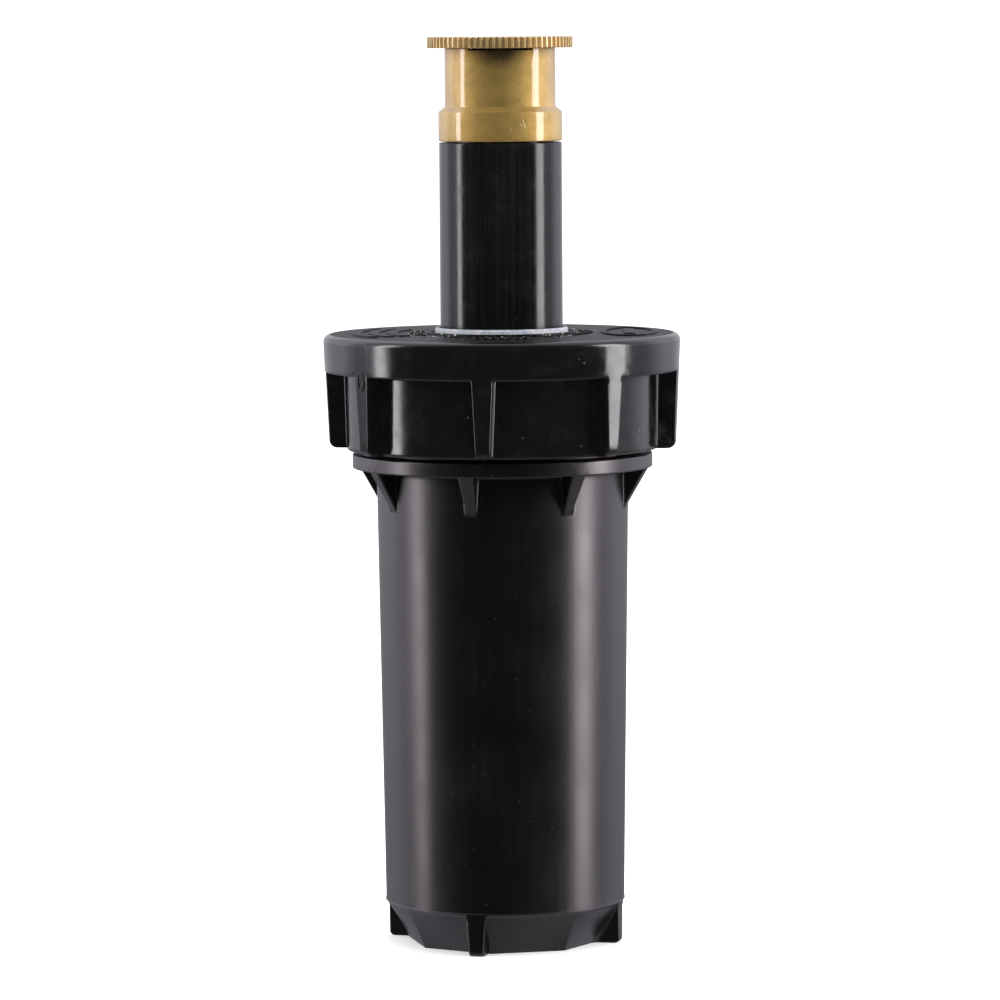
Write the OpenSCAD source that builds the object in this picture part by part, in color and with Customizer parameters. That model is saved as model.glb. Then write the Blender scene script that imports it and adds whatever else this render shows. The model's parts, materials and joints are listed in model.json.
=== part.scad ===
// Two inch pop up spray sprinkler: threaded plastic body, screw cap, retracting riser and brass
// nozzle. Drawn risen, with the origin at the middle of its base and the riser along +Z.

/* [Body] */
// Base to the underside of the flange
body_h = 80.3; // [77:0.1:100]
// Body outside diameter under the flange
body_d_top = 42.4; // [42:0.1:44]
// Body outside diameter at the foot of the draft
body_d_bot = 40.3; // [39.6:0.1:41.5]
// Diameter of the flange
flange_d = 50.5; // [49.5:0.5:54]
// Crest diameter of the half inch inlet thread
inlet_d = 18.6; // [18.2:0.1:19]
// Clocking of the gussets and base ribs
body_clock = -104.4; // [-150:0.1:-60]

/* [Cap] */
// Cap outside diameter over its rim
cap_d = 60; // [58:0.5:64]
// Number of grip ribs on the cap
cap_ribs = 8; // [4:1:12]
// Clocking of the grip ribs
cap_clock = -96.5; // [-140:0.5:-60]

/* [Riser] */
// How far the riser travels
stroke = 46.3; // [38:0.1:49]
// Riser outside diameter
riser_d = 20.6; // [20.4:0.1:21]
// Working coils in the retraction spring
spring_coils = 9; // [6:1:10]
// Wire diameter of the retraction spring
spring_wire = 1.4; // [1:0.1:1.5]

/* [Nozzle] */
// Diameter of the knurled disc
disc_d = 24.4; // [24:0.1:28]
// Thickness of the knurled disc
disc_t = 1.85; // [1.6:0.05:2.6]
// Teeth in the knurl
knurl_n = 72; // [36:4:90]
// Spray slot height
slot_h = 0.5; // [0.4:0.1:0.8]
// Arc watered by the spray slot
arc_deg = 70; // [50:10:200]

/* [Hidden] */
$fn = 96;
bite = 0.4;
gap = 0.3;
thin_gap = 0.1;

// body levels
flange_t = 2.35;
neck_z = body_h + flange_t;
rim_z = neck_z + 12;
cap_z = rim_z + 8.1;
lip_z = cap_z + 1.1;
foot_z = 7;
floor_z = 8.5;
hub_z = 15;
hub_r = 12.6;
seat_r = 7.5;
inlet_z = 13.5;
inlet_pitch = 1.814;
octagon_r = 16.7;
octagon_flat = octagon_r * cos(22.5);
octagon_clock = body_clock + 5.4;
bore_r = 18.2;
mouth_r = 19.6;
core_r = 22.3;
key_r = 17.2;
key_w = 1.6;
key_n = 8;

// cap and seal levels
cap_pitch = 3.5;
crest_r = core_r + 1.2;
cap_root_r = crest_r + gap;
cap_crest_r = core_r + gap;
plate_z = cap_z - 2.8;
band_z = cap_z - 6.25;
skirt_z = neck_z + 0.65;
hole_r = 11.95;
seal_r = 19;
pack_r = 22.4;

// riser levels, all carried up by the stroke
riser_r = riser_d / 2;
lip_r = riser_r + 0.4;
seal_z = hub_z + thin_gap + stroke;
stem_z = seal_z + 1.9;
disc_z = lip_z + 0.4 + stroke;
collar_z = disc_z - 15.55;
stem_top = collar_z - 0.2;
neck_top = disc_z - 12.05;
ring_z = stem_z + 3.3;
ring_top = ring_z + 5.9;
bore_in = 8.4;
throat_r = 7.4;
fine_pitch = 1.2;
male_root = 8.95;
male_crest = 9.6;

// nozzle levels, counted from the underside of the disc
collar_r = 10.4;
nose_r = 9.3;
chamber_r = 7.9;
stalk_r = 5.2;
screw_pitch = 0.8;
screw_root = 1.45;
screw_crest = 1.75;
tap_root = 1.95;
tap_crest = 1.65;

black = [0.06, 0.06, 0.065];
satin = [0.1, 0.1, 0.105];
dark_grey = [0.22, 0.23, 0.25];
brass = [0.74, 0.6, 0.36];
brass_dark = [0.66, 0.53, 0.32];
steel = [0.62, 0.64, 0.66];
elastomer = [0.74, 0.75, 0.8];
rubber = [0.13, 0.13, 0.14];
acetal = [0.82, 0.82, 0.78];

// ---- shared shapes ----

// Closed sweep of one section along a right-hand helix: points holds rings of m corners.
module swept(points, n, m) {
    sides = [for (i = [0:n - 1]) for (j = [0:m - 1]) let (
        a = i * m + j,
        b = i * m + (j + 1) % m,
        c = (i + 1) * m + (j + 1) % m,
        d = (i + 1) * m + j) each [[a, b, c], [a, c, d]]];
    first = [for (j = [m - 1:-1:0]) j];
    last = [for (j = [0:m - 1]) n * m + j];
    polyhedron(points, concat([first], sides, [last]), convexity = 10);
}

// Trapezoid ridge on a helix from the buried radius r_a to the crest r_b, run out at both ends.
module ridge(r_a, r_b, w_a, w_b, pitch, z0, turns, seg) {
    n = round(turns * seg);
    run = seg / 4;
    in_w = r_a < r_b ? w_a : w_b;
    out_w = r_a < r_b ? w_b : w_a;
    pts = [for (i = [0:n]) let (
        k = 0.16 + 0.84 * min(1, i / run, (n - i) / run),
        tip = r_a + (r_b - r_a) * k,
        lo = min(r_a, tip),
        hi = max(r_a, tip),
        ang = i * 360 / seg,
        z = z0 + pitch * i / seg) each [
            [lo * cos(ang), lo * sin(ang), z - in_w / 2],
            [hi * cos(ang), hi * sin(ang), z - out_w / 2],
            [hi * cos(ang), hi * sin(ang), z + out_w / 2],
            [lo * cos(ang), lo * sin(ang), z + in_w / 2]]];
    swept(pts, n, 4);
}

// Straight tube between two levels.
module pipe(r_in, r_out, z0, z1) {
    rotate_extrude()
        translate([r_in, z0])
            square([r_out - r_in, z1 - z0]);
}

// Plain round bar or hole between two levels.
module bar(r, z0, z1) {
    translate([0, 0, z0])
        cylinder(r = r, h = z1 - z0);
}

// Radial wedge from r_in to r_out, w_lo wide at z0 and w_hi wide at z1.
module radial_web(r_in, r_out, z0, z1, w_lo, w_hi) {
    translate([r_in, 0, 0])
        rotate([90, 0, 90])
            linear_extrude(r_out - r_in)
                polygon([[-w_lo / 2, z0], [w_lo / 2, z0], [w_hi / 2, z1], [-w_hi / 2, z1]]);
}

// Round ring of rubber cord.
module cord(r, cord_r, z) {
    translate([0, 0, z])
        rotate_extrude()
            translate([r, 0])
                circle(r = cord_r, $fn = 32);
}

// Corner fillet points of a profile, turning about one centre.
function turn_pts(cx, cy, r, a0, a1, steps = 6) =
    [for (i = [0:steps]) let (a = a0 + (a1 - a0) * i / steps) [cx + r * cos(a), cy + r * sin(a)]];

function oval(rx, ry, n = 48) = [for (i = [0:n - 1]) [rx * cos(i * 360 / n), ry * sin(i * 360 / n)]];

// ---- body ----

module body_shell() {
    r_top = body_d_top / 2;
    r_bot = body_d_bot / 2;
    r_fl = flange_d / 2;
    edge = 0.25;
    rotate_extrude()
        polygon(concat(
            [[0, foot_z - 1], [r_bot - 1.5, foot_z - 1], [r_bot, foot_z]],
            [[r_top, body_h - 0.6], [r_top + 0.6, body_h], [r_fl - edge, body_h]],
            turn_pts(r_fl - edge, body_h + edge, edge, -90, 0, 4),
            turn_pts(r_fl - edge, neck_z - edge, edge, 0, 90, 4),
            [[core_r, neck_z], [core_r, rim_z - 1.6], [core_r - 1.6, rim_z - 1.6]],
            [[core_r - 1.6, rim_z], [mouth_r + 0.4, rim_z], [mouth_r, rim_z - 0.4]],
            [[mouth_r, body_h + 0.9], [bore_r, body_h - 0.5], [bore_r, floor_z + 1]],
            [[bore_r - 1, floor_z], [hub_r + 0.6, floor_z], [hub_r, floor_z + 0.6]],
            [[hub_r, hub_z - 0.4], [hub_r - 0.4, hub_z], [0, hub_z]]));
}

// Foot that runs from round under the body to an octagon at the base.
module body_foot() {
    r_bot = body_d_bot / 2;
    z_low = 0;
    wide = 40;
    intersection() {
        rotate_extrude()
            polygon([[0, z_low], [octagon_r + 0.1, z_low], [r_bot, foot_z], [0, foot_z]]);
        intersection_for(i = [0:3])
            rotate([0, 0, octagon_clock + 22.5 + i * 45])
                translate([0, wide, 0])
                    rotate([90, 0, 0])
                        linear_extrude(2 * wide)
                            polygon([[-octagon_flat, z_low], [octagon_flat, z_low],
                                [r_bot + 0.02, foot_z + 0.01], [-r_bot - 0.02, foot_z + 0.01]]);
    }
}

module body_webs() {
    r_fl = flange_d / 2 - 0.3;
    drop = 6.85;
    for (i = [0:7])
        rotate([0, 0, body_clock + i * 45])
            intersection() {
                radial_web(19.5, r_fl + 1, body_h - drop, body_h + 0.5, 1.7, 2.6);
                rotate_extrude()
                    polygon([[19, body_h - drop], [21.1, body_h - drop], [r_fl, body_h - 0.3],
                        [r_fl, body_h + 0.5], [19, body_h + 0.5]]);
            }
}

module base_ribs() {
    r_out = body_d_bot / 2 - 0.05;
    corner = 0.8;
    for (i = [0:3])
        rotate([0, 0, body_clock + i * 90])
            intersection() {
                radial_web(12, r_out + 1, 0, foot_z + 0.3, 2.4, 3.4);
                rotate_extrude()
                    polygon(concat([[10, 0]],
                        turn_pts(r_out - corner, corner, corner, -90, 0),
                        [[r_out, foot_z + 0.3], [10, foot_z + 0.3]]));
            }
}

module body_keys() {
    for (i = [0:key_n - 1])
        rotate([0, 0, body_clock + i * 360 / key_n])
            intersection() {
                radial_web(key_r, bore_r + 0.6, floor_z - 0.5, body_h - 1, key_w, key_w);
                rotate_extrude()
                    polygon([[key_r + 0.01, floor_z - 0.5], [bore_r + 0.4, floor_z - 0.5],
                        [bore_r + 0.4, body_h - 1.4], [key_r + 0.01, body_h - 3.2]]);
            }
}

module body() {
    chamfer = 0.9;
    inlet_r = inlet_d / 2;
    color(satin)
        difference() {
            union() {
                body_shell();
                body_foot();
                body_webs();
                base_ribs();
                body_keys();
                ridge(core_r - bite, crest_r, 2.3, 0.9, cap_pitch, neck_z + 1.8, 2, 36);
                for (i = [0:3])
                    rotate([0, 0, body_clock + 45 + i * 90])
                        radial_web(hub_r - 0.5, bore_r + 0.5, floor_z - 0.5, floor_z + 3, 1.4, 1);
            }
            bar(inlet_r, -1, inlet_z);
            bar(seat_r, inlet_z - 1, hub_z + 1);
            translate([0, 0, -0.01])
                cylinder(r1 = inlet_r + chamfer, r2 = inlet_r, h = chamfer);
            ridge(inlet_r - bite, inlet_r + 0.75, 1.05, 0.3, inlet_pitch, 0.4, 6.5, 36);
        }
}

// ---- cap and seal pack ----

module cap_shell() {
    r_out = cap_d / 2;
    skirt_r = 26.3;
    round_r = 1.2;
    rotate_extrude()
        polygon(concat(
            [[hole_r, plate_z], [hole_r, cap_z + 0.3], [hole_r + 0.1, cap_z + 0.4]],
            [[hole_r + 0.9, cap_z + 0.4], [hole_r + 1, cap_z]],
            turn_pts(r_out - round_r, cap_z - round_r, round_r, 90, 4, 8),
            [[r_out - 0.2, band_z + 0.5]],
            turn_pts(r_out - 0.7, band_z + 0.5, 0.5, -4, -90, 4),
            [[skirt_r + 0.2, band_z]],
            turn_pts(skirt_r - 0.6, skirt_z + 0.5, 0.5, -2, -80, 4),
            [[cap_root_r + 0.5, skirt_z], [cap_root_r, skirt_z + 0.5], [cap_root_r, rim_z]],
            [[pack_r + gap, rim_z + 0.4], [pack_r + gap, rim_z + 3], [seal_r + gap, rim_z + 3]],
            [[seal_r + gap, plate_z]]));
}

module cap_grips() {
    r_top = cap_d / 2 - 0.2;
    r_low = cap_d / 2 - 0.75;
    z_low = skirt_z + 0.15;
    corner = 1.2;
    for (i = [0:cap_ribs - 1])
        rotate([0, 0, cap_clock + i * 360 / cap_ribs])
            intersection() {
                radial_web(24.5, r_top + 1, z_low, band_z + 1, 2.4, 3.6);
                rotate_extrude()
                    polygon(concat([[24.2, z_low]],
                        turn_pts(r_low - corner, z_low + corner, corner, -90, 0),
                        [[r_top - 0.05, band_z + 1], [24.2, band_z + 1]]));
            }
}

// Low raised shape on the flat of the cap.
module raised(rise) {
    translate([0, 0, cap_z - 0.3])
        linear_extrude(0.3 + rise)
            children();
}

// Short ticks round the hole, a row of dots, three arcs and a plain oval badge.
module cap_marks() {
    rise = 0.3;
    badge_x = 21.4;
    for (i = [0:5:355])
        rotate(i)
            translate([13.4, -0.2, 0])
                raised(0.2)
                    square([2, 0.4]);
    for (i = [-3:3])
        rotate(i * 4 - 90)
            translate([19, 0, 0])
                raised(rise)
                    circle(r = 0.5, $fn = 24);
    for (r = [17.6, 20.6, 23.6])
        rotate(150)
            translate([0, 0, cap_z - 0.3])
                rotate_extrude(angle = 60)
                    translate([r, 0])
                        square([1.8, 0.3 + rise]);
    translate([badge_x, 0, 0])
        raised(rise)
            difference() {
                polygon(oval(4.8, 12));
                polygon(oval(3.9, 11.1));
            }
    translate([badge_x, 0, 0])
        raised(rise)
            square([1.8, 14], center = true);
}

module cap() {
    color(black)
        union() {
            cap_shell();
            cap_grips();
            cap_marks();
            ridge(cap_root_r + bite, cap_crest_r, 2.3, 0.9, cap_pitch, neck_z + 3.55, 2.15, 36);
        }
}

module cap_o_ring() {
    color(rubber)
        cord(core_r - 0.75, 0.74, rim_z - 0.78);
}

module wiper_seal() {
    color(elastomer)
        rotate_extrude()
            polygon([[lip_r + 0.5, rim_z + 3.05], [seal_r, rim_z + 3.05], [seal_r, plate_z - 0.3],
                [seal_r - 0.25, plate_z - 0.05], [seal_r - 1.5, plate_z - 0.05],
                [seal_r - 2, plate_z - 0.5], [hole_r + 1.2, plate_z - 0.5],
                [hole_r - 0.2, plate_z], [hole_r - 0.2, cap_z - 0.1],
                [lip_r + 0.5, cap_z + 0.1], [lip_r + 0.45, lip_z - 0.3], [lip_r + 0.2, lip_z],
                [lip_r, lip_z - 0.15], [lip_r, cap_z - 0.4],
                [lip_r + 0.4, cap_z - 1.2], [lip_r + 0.4, rim_z + 4.6],
                [lip_r, rim_z + 4.2], [lip_r, rim_z + 3.5]]);
}

module seal_retainer() {
    inner = 11.3;
    color(dark_grey)
        difference() {
            rotate_extrude()
                polygon([[inner, rim_z + 0.8], [13.6 + gap, rim_z + 0.8],
                    [18.6, rim_z + 0.8], [18.6, rim_z - 2.4], [mouth_r - gap, rim_z - 2.4],
                    [mouth_r - gap, rim_z + 0.1], [pack_r, rim_z + 0.1],
                    [pack_r, rim_z + 2.6], [pack_r - 0.3, rim_z + 2.9],
                    [inner + 0.4, rim_z + 2.9], [inner, rim_z + 2.5]]);
            for (i = [0:7])
                rotate([0, 0, i * 45])
                    translate([16, 0, rim_z - 0.5])
                        cylinder(r = 1, h = 5, $fn = 32);
        }
}

module spring_washer() {
    color(steel)
        pipe(11.6, 14.6, rim_z + 0.25, rim_z + 0.75);
}

module retraction_spring() {
    mean_r = 13.1;
    seg = 28;
    m = 8;
    wire_r = spring_wire / 2;
    z_lo = ring_top + 0.05 + wire_r;
    z_hi = rim_z + 0.2 - wire_r;
    turns = spring_coils + 2;
    n = turns * seg;
    closed = spring_wire + 0.02;
    free = (z_hi - z_lo - 2 * closed) / spring_coils;
    pts = [for (i = [0:n]) let (
        t = i / seg,
        z = z_lo + closed * (min(t, 1) + max(t - turns + 1, 0))
            + free * max(0, min(t - 1, spring_coils)),
        ang = t * 360) each [for (j = [0:m - 1]) let (
            b = 360 * j / m,
            r = mean_r + wire_r * cos(b)) [r * cos(ang), r * sin(ang), z + wire_r * sin(b)]]];
    color(steel)
        swept(pts, n, m);
}

// ---- riser carriage ----

module ratchet_ring() {
    tooth_n = 40;
    tooth_r = 14.9;
    color(dark_grey)
        difference() {
            rotate_extrude()
                polygon([[tooth_r, ring_z], [17.5, ring_z], [17.9, ring_z + 0.4],
                    [17.9, ring_top - 1.4], [17.5, ring_top - 1], [14.4, ring_top - 1],
                    [14.4, ring_top], [riser_r + 0.5, ring_top],
                    [riser_r + 0.5, ring_z + 3.9], [tooth_r, ring_z + 3.9]]);
            for (i = [0:tooth_n - 1])
                rotate([0, 0, i * 360 / tooth_n])
                    translate([0, 0, ring_z - 0.5])
                        linear_extrude(3.7)
                            polygon([[14.2, -1.1], [15.75, 0.05], [15.75, 0.35], [14.2, 0.6]]);
            for (i = [0:key_n - 1])
                rotate([0, 0, body_clock + i * 360 / key_n])
                    radial_web(16.85, 19, ring_z - 1, ring_top + 1, key_w + 0.7, key_w + 0.7);
        }
}

module thrust_washer() {
    color(acetal)
        pipe(riser_r + 0.2, 16.2, stem_z + 2.6, stem_z + 3.1);
}

// Clip-on clutch whose four curved pawls click past the ratchet ring when the riser is turned.
module ratchet_clutch() {
    z0 = ring_z;
    z1 = ring_z + 3.1;
    color(acetal)
        union() {
            pipe(riser_r + 0.1, 12, z0, z1);
            for (i = [0:3])
                rotate([0, 0, i * 90])
                    intersection() {
                        difference() {
                            translate([1.9, 0, z0])
                                cylinder(r = 12.7, h = 2.6);
                            translate([1.9, 0, z0 - 1])
                                cylinder(r = 11.7, h = 5);
                        }
                        translate([0, 0, z0])
                            linear_extrude(3)
                                polygon([[11, 1], [14.9, 1], [16, 6], [12, 14],
                                    [-1, 14.5], [-1, 10.8], [6, 9]]);
                    }
        }
}

module riser_stem() {
    grip_n = 4;
    color(black)
        union() {
            rotate_extrude()
                polygon([[bore_in, stem_z], [12.2, stem_z], [16, stem_z + 1],
                    [16.4, stem_z + 1.4], [16.4, stem_z + 2.2], [16.1, stem_z + 2.5],
                    [riser_r, stem_z + 2.5], [riser_r, stem_top - 0.15],
                    [riser_r - 0.15, stem_top], [male_root, stem_top],
                    [male_root, neck_top - 0.3], [male_root - 0.3, neck_top],
                    [throat_r, neck_top], [throat_r, stem_top - 3], [bore_in, stem_top - 4.5]]);
            for (i = [0:grip_n - 1])
                rotate([0, 0, 45 + i * 360 / grip_n])
                    radial_web(throat_r + 0.1, bore_in + 0.5, stem_z + 12, stem_top - 5, 1, 1);
            ridge(male_root - bite, male_crest, 0.75, 0.2, fine_pitch, stem_top + 0.75, 2, 36);
        }
}

module check_seal_carrier() {
    lug_n = 3;
    z0 = seal_z + 0.1;
    color(acetal)
        difference() {
            union() {
                rotate_extrude()
                    polygon([[7, z0 + 0.3], [7.3, z0], [8.4, z0], [8.7, z0 + 0.3],
                        [8.7, z0 + 0.9], [12.2, z0 + 1.2], [12.2, z0 + 1.7],
                        [bore_in - 0.1, z0 + 1.7], [bore_in - 0.1, z0 + 8],
                        [bore_in - 0.5, z0 + 8.4], [7, z0 + 8.4]]);
                for (i = [0:lug_n - 1])
                    rotate([0, 0, 30 + i * 360 / lug_n])
                        translate([0, -0.6, z0 + 1])
                            cube([7.5, 1.2, 4]);
                bar(1.8, z0 + 1, z0 + 5);
            }
            for (i = [0:3])
                rotate([0, 0, i * 90])
                    translate([6, -0.5, z0 + 5.5])
                        cube([4, 1, 4]);
        }
}

module check_seal() {
    color(rubber)
        rotate_extrude()
            polygon([[8.8, seal_z + 0.1], [9.2, seal_z], [11.8, seal_z], [12.2, seal_z + 0.3],
                [12.2, seal_z + 1.2], [8.8, seal_z + 0.95]]);
}

// ---- filter ----

module filter_basket() {
    z_top = neck_top + 0.85;
    z_low = neck_top - 33;
    r_in = 5.2;
    r_out = 6.2;
    color(acetal)
        difference() {
            rotate_extrude()
                polygon([[0, z_low], [r_out - 0.6, z_low], [r_out, z_low + 0.6],
                    [r_out, neck_top - 1], [r_out + 0.3, neck_top + 0.05],
                    [8.7, neck_top + 0.05], [8.7, z_top], [r_in, z_top],
                    [r_in, z_low + 1.2], [0, z_low + 1.2]]);
            for (i = [0:5])
                rotate([0, 0, i * 60])
                    for (k = [0:2])
                        translate([r_in - 1, -1.9, z_low + 2.4 + k * 9.6])
                            cube([4, 3.8, 8.2]);
        }
}

module filter_mesh() {
    z_low = neck_top - 31.2;
    wire = 0.28;
    r_mesh = 4.95;
    color(steel)
        union() {
            for (i = [0:14])
                pipe(r_mesh - wire, r_mesh, z_low + i * 2.1, z_low + i * 2.1 + wire);
            for (i = [0:11])
                rotate([0, 0, i * 30 + 7])
                    translate([r_mesh - wire, -wire / 2, z_low])
                        cube([wire - 0.03, wire, 29.4 + wire]);
        }
}

module nozzle_gasket() {
    color(rubber)
        pipe(6.4, 8.7, neck_top + 0.9, neck_top + 1.55);
}

// ---- nozzle ----

module nozzle_body() {
    shoulder_z = neck_top + 1.6;
    seat_z = disc_z - 7.5;
    wall_in = male_crest + gap;
    color(brass)
        difference() {
            union() {
                rotate_extrude()
                    polygon([[wall_in, collar_z + 0.3], [wall_in + 0.2, collar_z],
                        [collar_r - 0.35, collar_z],
                        [collar_r, collar_z + 0.35], [collar_r, disc_z - 10.65],
                        [nose_r, disc_z - 9.75], [nose_r, disc_z - 0.05],
                        [chamber_r, disc_z - 0.05], [chamber_r, seat_z + 0.6],
                        [stalk_r + 0.05, seat_z + 0.6], [stalk_r + 0.05, seat_z],
                        [2.8, seat_z], [2, seat_z - 0.8], [2, seat_z - 1.9],
                        [5.4, shoulder_z + 0.6], [6, shoulder_z], [9.2, shoulder_z],
                        [9.2, shoulder_z - 1.6], [wall_in, shoulder_z - 2]]);
                ridge(wall_in + 0.25, male_root + gap, 0.75, 0.2, fine_pitch,
                    stem_top + 0.75 + fine_pitch / 2, 1.6, 36);
            }
            rotate([0, 0, -90 - arc_deg / 2])
                rotate_extrude(angle = arc_deg)
                    translate([chamber_r - 1, disc_z - slot_h])
                        square([5, slot_h + 1]);
        }
}

// Knurled disc on a ported stalk: the water leaves the ports and sprays out under the disc.
module knurled_plate() {
    r_out = disc_d / 2;
    tooth = 0.5;
    pitch_deg = 360 / knurl_n;
    bevel = 0.12;
    intersection() {
        translate([0, 0, disc_z])
            linear_extrude(disc_t)
                polygon([for (i = [0:knurl_n - 1]) each [
                    [(r_out - tooth) * cos((i - 0.36) * pitch_deg),
                        (r_out - tooth) * sin((i - 0.36) * pitch_deg)],
                    [r_out * cos((i - 0.12) * pitch_deg), r_out * sin((i - 0.12) * pitch_deg)],
                    [r_out * cos((i + 0.12) * pitch_deg), r_out * sin((i + 0.12) * pitch_deg)],
                    [(r_out - tooth) * cos((i + 0.36) * pitch_deg),
                        (r_out - tooth) * sin((i + 0.36) * pitch_deg)]]]);
        rotate_extrude()
            polygon([[0, disc_z], [r_out - bevel, disc_z], [r_out + 0.1, disc_z + bevel],
                [r_out + 0.1, disc_z + disc_t - bevel],
                [r_out - bevel, disc_z + disc_t], [0, disc_z + disc_t]]);
    }
}

module nozzle_disc() {
    foot = disc_z - 7.45;
    color(brass_dark)
        union() {
            difference() {
                union() {
                    knurled_plate();
                    bar(stalk_r, foot, disc_z + 0.5);
                }
                bar(4.2, foot - 1, foot + 2.6);
                bar(2.75, foot, foot + 4.9);
                bar(tap_root, foot, disc_z + disc_t + 1);
                for (i = [0:1])
                    rotate([0, 0, 45 + i * 90])
                        translate([-6, -1.6, foot + 0.75])
                            cube([12, 3.2, 1.7]);
                translate([0, 0, disc_z + disc_t - 0.5])
                    cylinder(r1 = tap_root, r2 = tap_root + 0.6, h = 0.51);
            }
            ridge(tap_root + 0.3, tap_crest, 0.46, 0.12, screw_pitch,
                disc_z - 2.4 + screw_pitch / 2, 3.6, 24);
        }
}

module screw_o_ring() {
    color(rubber)
        cord(2.1, 0.55, disc_z - 4.4);
}

module adjusting_screw() {
    tip_z = disc_z - 8.4;
    top_z = disc_z + disc_t - 0.7;
    color(steel)
        difference() {
            union() {
                rotate_extrude()
                    polygon([[0, tip_z], [0.6, tip_z], [2.4, tip_z + 1.8], [2.4, tip_z + 3.3],
                        [screw_root, tip_z + 3.3], [screw_root, top_z - 0.2],
                        [screw_root - 0.2, top_z], [0, top_z]]);
                ridge(screw_root - 0.3, screw_crest, 0.46, 0.12, screw_pitch,
                    disc_z - 2.4, 3.8, 24);
            }
            translate([-2, -0.25, top_z - 0.8])
                cube([4, 0.5, 2]);
        }
}

body();
cap();
cap_o_ring();
wiper_seal();
seal_retainer();
spring_washer();
retraction_spring();
ratchet_ring();
thrust_washer();
ratchet_clutch();
riser_stem();
check_seal_carrier();
check_seal();
filter_basket();
filter_mesh();
nozzle_gasket();
nozzle_body();
nozzle_disc();
screw_o_ring();
adjusting_screw();
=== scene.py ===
"""Looks of the pop-up sprinkler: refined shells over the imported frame, materials, studio and camera."""

import json
import math

import bmesh
import bpy
import numpy as np
from mathutils import Matrix, Vector


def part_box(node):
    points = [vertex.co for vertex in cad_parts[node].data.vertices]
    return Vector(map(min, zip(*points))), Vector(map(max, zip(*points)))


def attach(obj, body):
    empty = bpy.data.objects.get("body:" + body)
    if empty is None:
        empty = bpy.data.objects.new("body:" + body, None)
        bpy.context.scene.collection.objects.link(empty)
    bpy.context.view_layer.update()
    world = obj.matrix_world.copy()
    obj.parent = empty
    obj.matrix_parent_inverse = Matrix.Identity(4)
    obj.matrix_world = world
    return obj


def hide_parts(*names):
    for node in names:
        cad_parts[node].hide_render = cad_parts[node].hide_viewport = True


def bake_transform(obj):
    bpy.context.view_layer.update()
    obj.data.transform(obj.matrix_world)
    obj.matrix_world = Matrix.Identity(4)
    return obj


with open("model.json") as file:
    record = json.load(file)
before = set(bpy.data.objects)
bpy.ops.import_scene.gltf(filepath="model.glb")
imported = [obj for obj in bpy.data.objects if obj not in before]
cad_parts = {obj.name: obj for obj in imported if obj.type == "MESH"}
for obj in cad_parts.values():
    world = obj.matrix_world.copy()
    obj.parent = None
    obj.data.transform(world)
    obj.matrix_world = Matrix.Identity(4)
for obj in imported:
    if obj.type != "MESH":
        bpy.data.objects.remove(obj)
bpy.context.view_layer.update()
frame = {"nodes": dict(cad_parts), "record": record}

# ---------------------------------------------------------------------------------- dimensions
MM = 0.001
MM_PER_M = 1000
TAU = 2 * math.pi
RIBS = 8
HELIX_STEPS = 96


def box_mm(node):
    """Lowest and highest corner of a node, in millimetres."""
    lo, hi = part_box(node)
    return Vector(lo) / MM, Vector(hi) / MM


body_hi = box_mm("body")[1]
disc_lo, disc_hi = box_mm("nozzle_disc")
stem_lo = box_mm("riser_stem")[0]
seal_lo = box_mm("wiper_seal")[0]
spring_lo, spring_hi = box_mm("retraction_spring")

# body, from its rim down
RIM_Z = body_hi.z
NECK_Z = RIM_Z - 12.0
FLANGE_Z = NECK_Z - 2.35
FOOT_Z = 7.0
FLANGE_R = body_hi.x
BODY_TOP_R = 21.2
BODY_LOW_R = 20.15
BORE_R = 18.2
MOUTH_R = 19.6
CORE_R = 22.3
FLOOR_Z = 8.5
HUB_Z = 15.0
HUB_R = 12.6
INLET_R = 9.3
INLET_Z = 13.5
INLET_ROOT_R = 10.05
INLET_PITCH = 1.814
SEAT_R = 7.5
OCTAGON_R = 16.7
GUSSET_DROP = 6.85
GUSSET_Z = FLANGE_Z - GUSSET_DROP
GUSSET_LOW_W = 1.7
GUSSET_HIGH_W = 2.6
BASE_RIB_W = 2.4
TUBE_RIB_W = 3.4
FLANGE_FILLET = 0.6
NECK_TURNS = 2
INLET_TURNS = 6
BODY_CLOCK = math.radians(-104.4)
OCTAGON_CLOCK = BODY_CLOCK + math.radians(5.4)

# cap, from its top down
CAP_Z = RIM_Z + 8.1
CAP_R = 30.0
BAND_Z = CAP_Z - 6.25
PLATE_Z = CAP_Z - 2.8
SKIRT_Z = NECK_Z + 0.65
SKIRT_R = 26.3
HOLE_R = 11.95
RIB_LOW_Z = SKIRT_Z + 0.15
RIB_TOP_R = CAP_R - 0.2
RIB_LOW_R = CAP_R - 0.75
RIB_CORNER = 1.2
RIB_LOW_W = 2.4
RIB_HIGH_W = 3.6
SHOULDER = 1.2
SKIRT_EDGE = 0.5
CAP_ROOT_R = 23.8
CAP_PITCH = 3.5
CAP_TURNS = 2.15
CAP_RIDGE = (2.3, 0.9)
POCKET_R = 22.7
PLATE_BORE_R = 19.3
MARK_RISE = 0.3
TICKS = 72
CAP_CLOCK = math.radians(-96.5)

# riser and nozzle, from the underside of the disc down
RISER_R = 10.3
DISC_T = 1.85
DISC_Z = disc_hi.z - DISC_T
DISC_R = 12.2
COLLAR_Z = DISC_Z - 15.55
COLLAR_R = 10.4
NOSE_R = 9.3
CHAMBER_R = 7.9
STEM_TOP = COLLAR_Z - 0.2
NECK_TOP = DISC_Z - 12.05
KNURL_TEETH = 72
NOZZLE_PITCH = 1.2
NOZZLE_RIDGE = (0.75, 0.2)
SLOT_H = 0.4
SLOT_ARC = math.radians(70)
FRONT_SLOPE = 1 / math.tan(SLOT_ARC / 2)


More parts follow.
